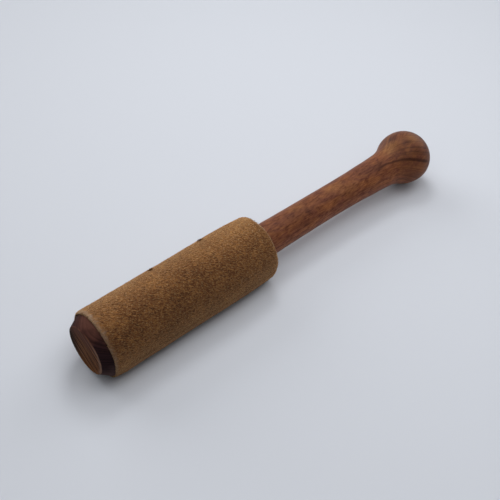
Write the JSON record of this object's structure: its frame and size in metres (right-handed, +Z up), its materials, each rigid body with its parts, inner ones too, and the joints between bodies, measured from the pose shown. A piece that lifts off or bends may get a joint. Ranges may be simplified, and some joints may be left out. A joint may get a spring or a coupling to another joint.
{
  "type": "singing bowl striker",
  "caption": "Turned hardwood striker with a suede-wrapped cylindrical head, a bare chamfered tip, a slim waisted handle and a ball end.",
  "frame": {"origin": "middle of the underside, on the surface that the striker lies on", "axes": "+X along the stick from the sawn tip to the ball, +Z up, +Y away from the side that the picture shows"},
  "size_m": [0.2344, 0.0352, 0.0347],
  "materials": {
    "rosewood": "turned and oiled to a satin, with a sawn end face",
    "suede": "tan suede, short mottled nap"
  },
  "bodies": {
    "root": {"turned_stick": "rosewood", "suede_wrap": "suede"}
  },
  "joints": []
}
